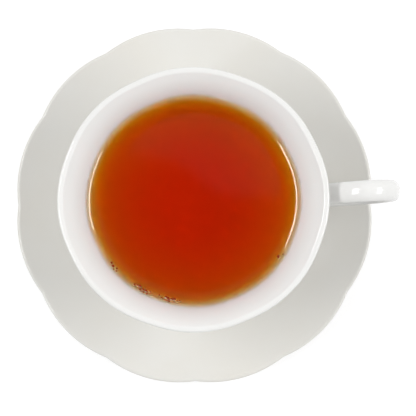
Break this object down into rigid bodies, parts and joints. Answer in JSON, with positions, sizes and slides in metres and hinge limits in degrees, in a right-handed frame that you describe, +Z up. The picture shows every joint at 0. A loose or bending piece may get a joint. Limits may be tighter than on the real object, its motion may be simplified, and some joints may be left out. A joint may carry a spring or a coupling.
{
  "type": "cup of tea",
  "caption": "Porcelain teacup with a flared, softly lobed lip and a loop handle, filled with amber tea, standing on a scalloped saucer.",
  "frame": {"origin": "centre of the saucer's foot ring, on the plane that it stands on", "axes": "+Z up through the axis of the cup and the saucer, +X out along the cup's handle, the front at -Y"},
  "size_m": [0.1559, 0.1488, 0.0624],
  "materials": {
    "saucer_porcelain": "gloss, glazed white porcelain",
    "cup_porcelain": "gloss, glazed white porcelain",
    "tea": "gloss, clear amber-red liquid"
  },
  "bodies": {
    "root": {"saucer": "saucer_porcelain", "cup": "cup_porcelain", "tea": "tea"}
  },
  "joints": []
}
